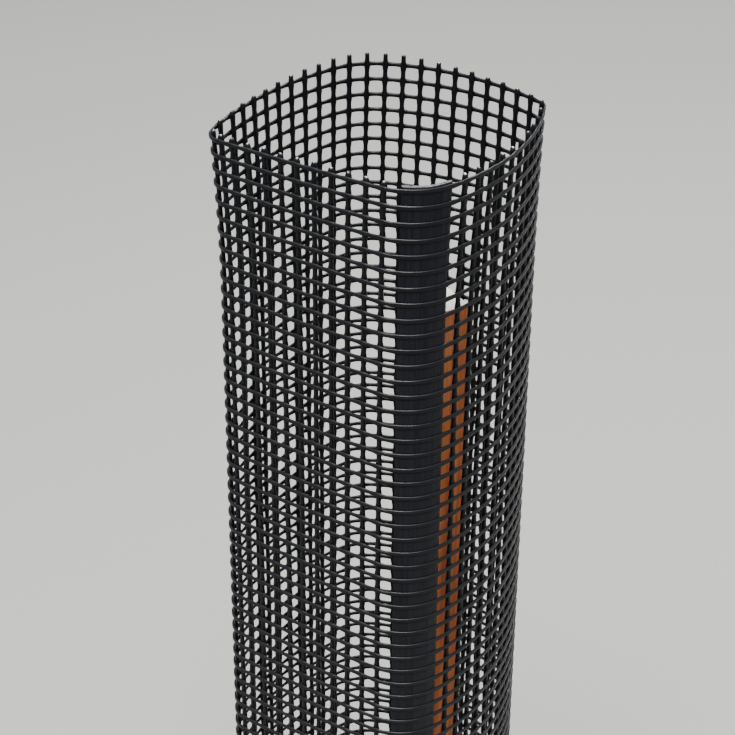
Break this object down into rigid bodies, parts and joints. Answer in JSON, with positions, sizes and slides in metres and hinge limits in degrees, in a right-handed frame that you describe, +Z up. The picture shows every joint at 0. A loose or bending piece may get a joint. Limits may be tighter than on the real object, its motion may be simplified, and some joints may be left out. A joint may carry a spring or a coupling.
{
  "type": "tree guard tube",
  "caption": "Square-mesh plastic net tube with a solid seam strip, set over a square wooden stake to guard a young tree's trunk.",
  "frame": {"origin": "on the ground, at the middle of the tube's plan", "axes": "+Z up along the tube; -Y towards the seam strip; +X to the right seen from the strip's side"},
  "size_m": [0.1557, 0.1431, 0.6],
  "materials": {
    "net": "satin black polyethylene, lightly streaked along the extrusion",
    "stake_wood": "sawn reddish hardwood, bare"
  },
  "bodies": {
    "stake": {"stake": "stake_wood"},
    "guard": {"strands_near_left": "net", "strands_far_left": "net", "strands_far_right": "net", "strands_near_right": "net", "hoops": "net", "seam_strip": "net"}
  },
  "joints": [
    {"name": "guard_lift", "type": "slide", "parent": "stake", "child": "guard", "axis": [0, 0, 1], "range_m": [0, 0.55]}
  ]
}
